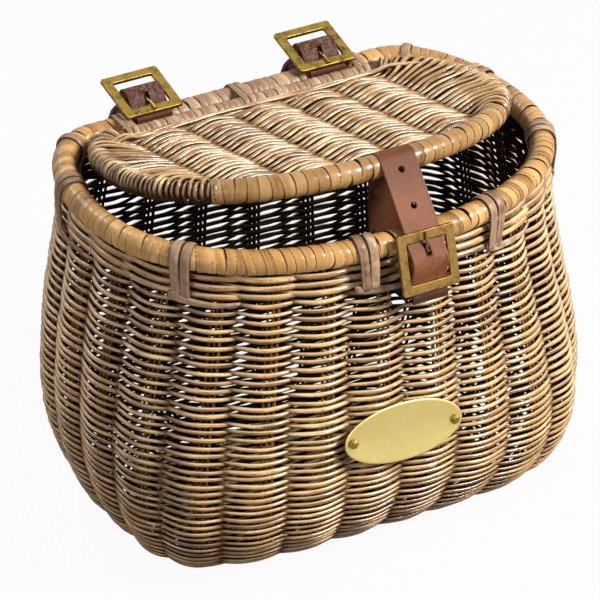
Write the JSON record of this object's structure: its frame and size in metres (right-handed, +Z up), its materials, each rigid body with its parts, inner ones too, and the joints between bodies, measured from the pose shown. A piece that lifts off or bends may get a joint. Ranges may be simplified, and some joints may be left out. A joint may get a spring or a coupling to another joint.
{
  "type": "wicker bicycle basket",
  "caption": "Bellied wicker basket for a bicycle, with an inset hinged lid, a buckled leather closing strap at the front and leather handlebar straps at the back.",
  "frame": {"origin": "on the underside of the base, under the middle of the rim", "axes": "+Z up, -Y towards the front with the buckle and the plate, +X to the right seen from the front"},
  "size_m": [0.3391, 0.2657, 0.2805],
  "materials": {
    "wicker": "natural willow, dry",
    "pale_wicker": "peeled willow, dry",
    "cane": "flat cane, satin",
    "grey_cane": "weathered flat cane",
    "pole": "bent pole, bare",
    "leather": "red-brown, nubuck",
    "old_brass": "antique",
    "pale_brass": "satin"
  },
  "bodies": {
    "basket": {"wall_weave": "wicker", "base_panel": "wicker", "rim_pole": "pole", "rim_binding_left": "cane", "rim_binding_back": "cane", "rim_binding_right": "cane", "rim_lashing_left": "grey_cane", "rim_lashing_front_left": "grey_cane", "rim_lashing_front": "grey_cane", "rim_lashing_front_right": "grey_cane", "rim_lashing_right": "grey_cane", "rim_lashing_right_rear": "grey_cane", "rim_lashing_back_left": "grey_cane", "rim_lashing_back_right": "grey_cane", "hinge_loop_left": "grey_cane", "hinge_loop_middle": "grey_cane", "hinge_loop_right": "grey_cane", "front_strap": "leather", "front_buckle": "old_brass", "front_rivet": "old_brass", "handlebar_strap_left": "leather", "handlebar_strap_right": "leather", "handlebar_buckle_left": "old_brass", "handlebar_buckle_right": "old_brass", "handlebar_rivet_left": "old_brass", "handlebar_rivet_right": "old_brass", "badge_plate": "pale_brass", "plate_screw_left": "old_brass", "plate_screw_right": "old_brass"},
    "lid": {"lid_hoop": "pole", "lid_back_bar": "pole", "lid_end_wrap_left": "pale_wicker", "lid_end_wrap_right": "pale_wicker", "lid_front_binding_left": "cane", "lid_front_binding_right": "cane", "lid_back_binding_left": "grey_cane", "lid_back_binding_right": "grey_cane", "lid_mat": "pale_wicker", "lid_strap": "leather", "lid_strap_rivet_upper": "old_brass", "lid_strap_rivet_lower": "old_brass"},
    "front_prong": {"front_prong": "old_brass"},
    "handlebar_prong_left": {"handlebar_prong_left": "old_brass"},
    "handlebar_prong_right": {"handlebar_prong_right": "old_brass"}
  },
  "joints": [
    {"name": "lid_hinge", "type": "hinge", "parent": "basket", "child": "lid", "pos_m": [0, 0.09, 0.236], "axis": [-1, 0, 0], "range_deg": [0, 78], "deforming": ["lid_strap"]},
    {"name": "front_prong_pivot", "type": "hinge", "parent": "basket", "child": "front_prong", "pos_m": [0.008, -0.11972, 0.22368], "axis": [1, 0, 0], "range_deg": [0, 10]},
    {"name": "handlebar_prong_left_pivot", "type": "hinge", "parent": "basket", "child": "handlebar_prong_left", "pos_m": [-0.063, 0.11505, 0.24687], "axis": [-1, 0, 0], "range_deg": [0, 10]},
    {"name": "handlebar_prong_right_pivot", "type": "hinge", "parent": "basket", "child": "handlebar_prong_right", "pos_m": [0.063, 0.11505, 0.24687], "axis": [-1, 0, 0], "range_deg": [0, 10]}
  ]
}
